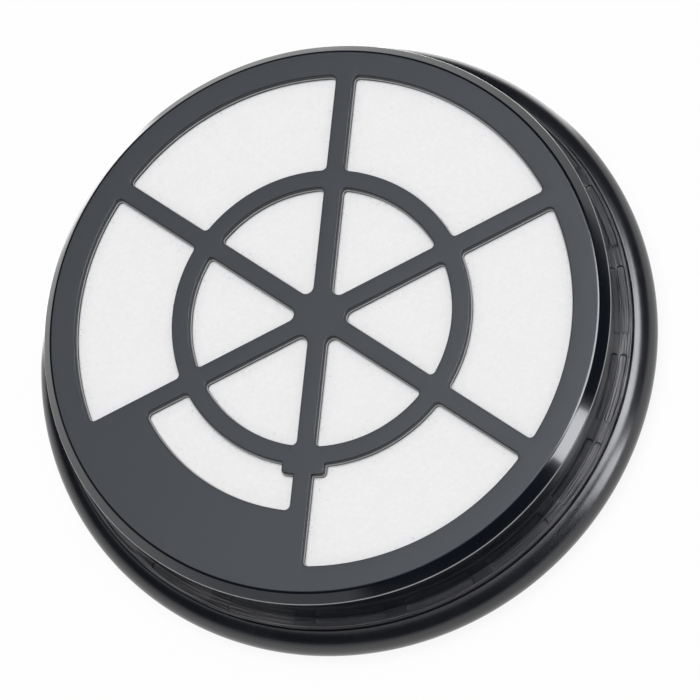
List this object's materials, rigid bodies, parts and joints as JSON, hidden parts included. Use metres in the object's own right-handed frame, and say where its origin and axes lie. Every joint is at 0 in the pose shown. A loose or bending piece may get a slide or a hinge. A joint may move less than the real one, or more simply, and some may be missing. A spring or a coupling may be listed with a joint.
{
  "type": "vacuum motor filter",
  "caption": "Round motor filter cartridge: dark spoked grille over white fleece and pleated media, straight wall with a ribbed collar, thick rubber seal ring.",
  "frame": {"origin": "centre of the seal ring's flat underside, on the filter's axis, where the filter rests on a surface", "axes": "+Z is the filter's axis, from the seal towards the grille face; -Y points to the pad on the grille's inner ring; +X is to the right seen with the grille towards the viewer and the pad at the bottom"},
  "size_m": [0.16, 0.16, 0.0302],
  "materials": {
    "housing_plastic": "satin grille face, glossy wall",
    "seal_rubber": "satin",
    "fleece": "matte nonwoven",
    "media": "matte",
    "hot_melt": "satin",
    "potting": "satin"
  },
  "bodies": {
    "root": {"front_frame": "housing_plastic", "seal_ring": "seal_rubber", "cover_fleece": "fleece", "pleated_media": "media", "spacer_beads": "hot_melt", "potting_ring": "potting"}
  },
  "joints": []
}
